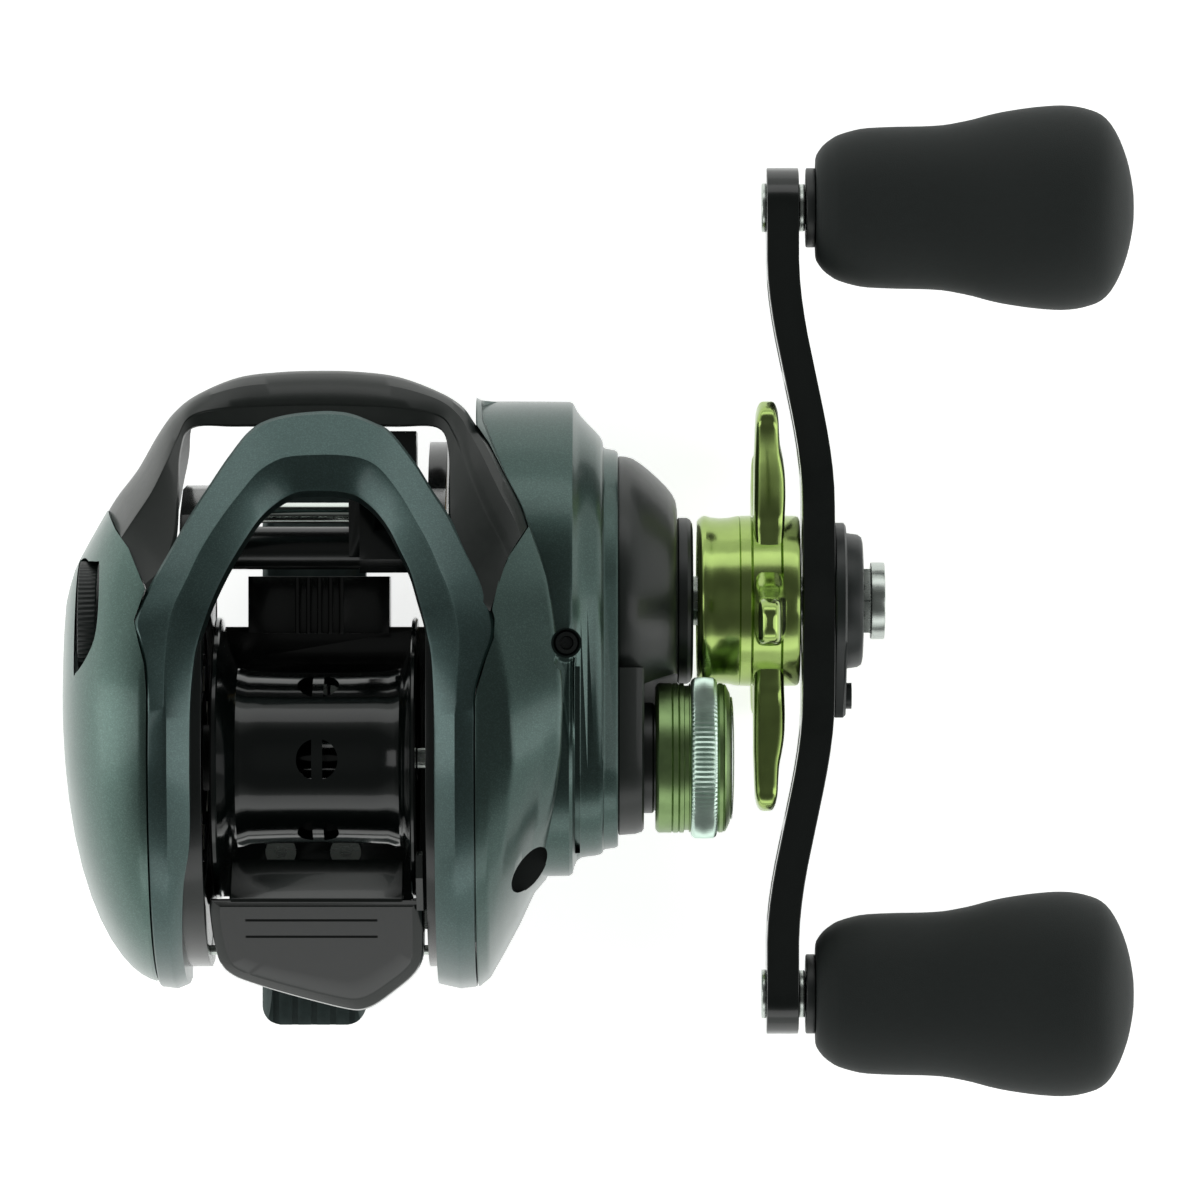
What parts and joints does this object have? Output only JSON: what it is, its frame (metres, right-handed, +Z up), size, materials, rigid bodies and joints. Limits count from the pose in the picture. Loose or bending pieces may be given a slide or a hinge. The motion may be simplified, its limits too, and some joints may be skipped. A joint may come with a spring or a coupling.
{
  "type": "baitcasting reel",
  "caption": "Low-profile baitcasting fishing reel with A-shaped top cover, star drag, two-knob handle, level wind and a saddle foot for a rod seat.",
  "frame": {"origin": "on the rod's centre line, under the middle of the reel foot", "axes": "+Y forward along the rod, the way the line leaves; +X towards the handle; +Z up from the rod to the top of the reel"},
  "size_m": [0.13, 0.121, 0.0533],
  "materials": {
    "plate_paint": "metallic grey-green paint with fine flake, satin clear coat",
    "arch_paint": "metallic blue-grey paint with fine flake, satin clear coat",
    "gear_paint": "dark metallic grey paint, satin",
    "hood_black": "matte black moulded composite",
    "frame_black": "gloss black anodised aluminium",
    "foot_grey": "dark grey ribbed casting, satin",
    "arm_black": "gloss black, bevelled edges",
    "retainer_black": "matte dark moulded plastic",
    "knob_rubber": "soft matte black foam rubber",
    "steel": "turned stainless steel",
    "chrome": "polished",
    "star_green": "polished green-gold anodised",
    "cast_green": "olive anodised, satin",
    "knurl_silver": "knurled, bright silver",
    "spool_black": "gloss black anodised aluminium",
    "brass": "machined",
    "nylon": "moulded, natural white",
    "dark_plastic": "moulded, dark",
    "carbon": "woven carbon friction discs",
    "ceramic": "polished dark ceramic"
  },
  "bodies": {
    "root": {"frame": "frame_black", "reel_foot": "foot_grey", "foot_screws": "steel", "top_cover": "arch_paint", "front_hood": "hood_black", "gear_side_plate": "gear_paint", "gear_cover": "hood_black", "gear_side_screws": "steel", "rear_pillar": "steel", "guide_rod": "chrome", "worm_guard_tube": "frame_black", "worm_bushes": "brass", "drive_shaft_bush": "brass", "roller_clutch_bearing": "steel", "roller_clutch_seal": "dark_plastic", "pinion_bearings": "steel", "spool_bearing_right": "steel"},
    "crank": {"drive_shaft": "steel", "handle_arm": "arm_black", "handle_nut": "steel", "nut_retainer": "retainer_black", "retainer_screw": "retainer_black", "knob_shafts": "steel", "ratchet": "steel", "wind_drive_gear": "nylon", "drive_gear": "brass", "drag_washers": "carbon", "roller_clutch_tube": "steel"},
    "star": {"star_drag": "star_green", "star_nut": "steel"},
    "front_knob": {"front_knob": "knob_rubber", "front_knob_collar": "dark_plastic", "front_knob_bearings": "steel"},
    "rear_knob": {"rear_knob": "knob_rubber", "rear_knob_collar": "dark_plastic", "rear_knob_bearings": "steel"},
    "cast_control": {"cast_control_cap": "cast_green", "cast_control_ring": "knurl_silver", "cast_control_disc": "steel", "cast_friction_disc": "nylon"},
    "spool": {"spool": "spool_black", "spool_shaft": "steel", "spool_pin": "steel", "brake_hub": "dark_plastic", "brake_blocks": "nylon"},
    "palm_plate": {"palm_side_plate": "plate_paint", "brake_case": "dark_plastic", "spool_bearing_left": "steel", "side_plate_screw": "steel"},
    "brake_dial": {"brake_dial": "dark_plastic"},
    "thumb_bar": {"thumb_bar": "frame_black", "clutch_plate": "steel"},
    "yoke": {"clutch_yoke": "steel", "clutch_springs": "steel"},
    "pinion": {"pinion_gear": "brass"},
    "worm": {"worm_shaft": "steel", "worm_gear": "nylon"},
    "level_wind": {"line_guide": "frame_black", "line_eyelet": "ceramic", "wind_pawl": "steel"}
  },
  "joints": [
    {"name": "crank_spin", "type": "hinge", "parent": "root", "child": "crank", "pos_m": [0, 0.019, 0.02116], "axis": [1, 0, 0], "continuous": true},
    {"name": "front_knob_spin", "type": "hinge", "parent": "crank", "child": "front_knob", "pos_m": [0, 0.067, 0.02116], "axis": [1, 0, 0], "continuous": true},
    {"name": "rear_knob_spin", "type": "hinge", "parent": "crank", "child": "rear_knob", "pos_m": [0, -0.029, 0.02116], "axis": [1, 0, 0], "continuous": true},
    {"name": "star_drag_turn", "type": "hinge", "parent": "crank", "child": "star", "pos_m": [0, 0.019, 0.02116], "axis": [1, 0, 0], "range_deg": [-180, 180]},
    {"name": "cast_control_turn", "type": "hinge", "parent": "root", "child": "cast_control", "pos_m": [0, 0, 0.0295], "axis": [1, 0, 0], "range_deg": [-180, 180]},
    {"name": "spool_spin", "type": "hinge", "parent": "root", "child": "spool", "pos_m": [0, 0, 0.0295], "axis": [1, 0, 0], "continuous": true},
    {"name": "yoke_slide", "type": "slide", "parent": "root", "child": "yoke", "axis": [1, 0, 0], "range_m": [0, 0.0016], "deforming": ["clutch_springs"]},
    {"name": "pinion_spin", "type": "hinge", "parent": "yoke", "child": "pinion", "pos_m": [0, 0, 0.0295], "axis": [1, 0, 0], "continuous": true},
    {"name": "worm_spin", "type": "hinge", "parent": "root", "child": "worm", "pos_m": [0, 0.0254, 0.02884], "axis": [1, 0, 0], "continuous": true},
    {"name": "level_wind_slide", "type": "slide", "parent": "root", "child": "level_wind", "axis": [1, 0, 0], "range_m": [-0.0165, 0.001]},
    {"name": "thumb_bar_press", "type": "slide", "parent": "root", "child": "thumb_bar", "axis": [0, 0, -1], "range_m": [0, 0.004]},
    {"name": "palm_plate_slide", "type": "slide", "parent": "root", "child": "palm_plate", "axis": [-1, 0, 0], "range_m": [0, 0.03]},
    {"name": "brake_dial_turn", "type": "hinge", "parent": "palm_plate", "child": "brake_dial", "pos_m": [0, 0.0164, 0.036], "axis": [1, 0, 0], "range_deg": [-60, 60]}
  ],
  "couplings": [
    {"joint": "spool_spin", "follows": "crank_spin", "ratio": -6.5455},
    {"joint": "pinion_spin", "follows": "crank_spin", "ratio": -6.5455},
    {"joint": "worm_spin", "follows": "crank_spin", "ratio": -1.5},
    {"joint": "yoke_slide", "follows": "thumb_bar_press", "ratio": 0.4}
  ]
}
